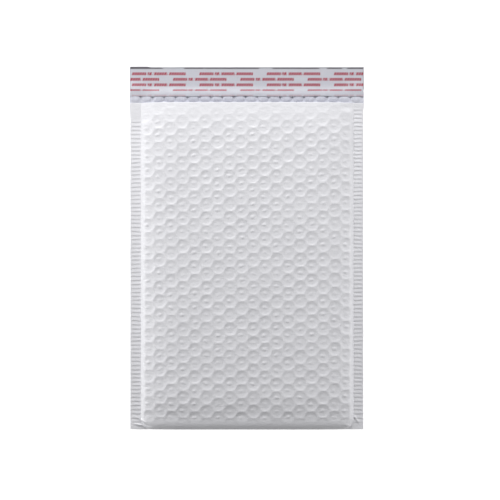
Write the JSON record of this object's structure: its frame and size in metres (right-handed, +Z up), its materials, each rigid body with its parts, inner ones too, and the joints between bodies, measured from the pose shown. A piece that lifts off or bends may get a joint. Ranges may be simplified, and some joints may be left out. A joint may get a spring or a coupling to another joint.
{
  "type": "padded envelope",
  "caption": "Flat padded envelope of white film over bubble lining, with ribbed side seals, a folded bottom and an open flap with a peel-off strip.",
  "frame": {"origin": "under the middle of the envelope as it lies with its flap open, on the surface that it rests on", "axes": "+Y from the bottom fold to the flap, +X across to the right seal, +Z up out of the front panel"},
  "size_m": [0.2186, 0.3384, 0.0127],
  "materials": {
    "outer_film": "satin pearl film",
    "bubble_lining": "translucent glossy film",
    "adhesive_strip": "tacky, clear to straw",
    "release_liner": "translucent film with rows of red marks"
  },
  "bodies": {
    "root": {"outer_film": "outer_film", "bubble_lining": "bubble_lining", "adhesive_strip": "adhesive_strip", "release_liner": "release_liner"}
  },
  "joints": []
}
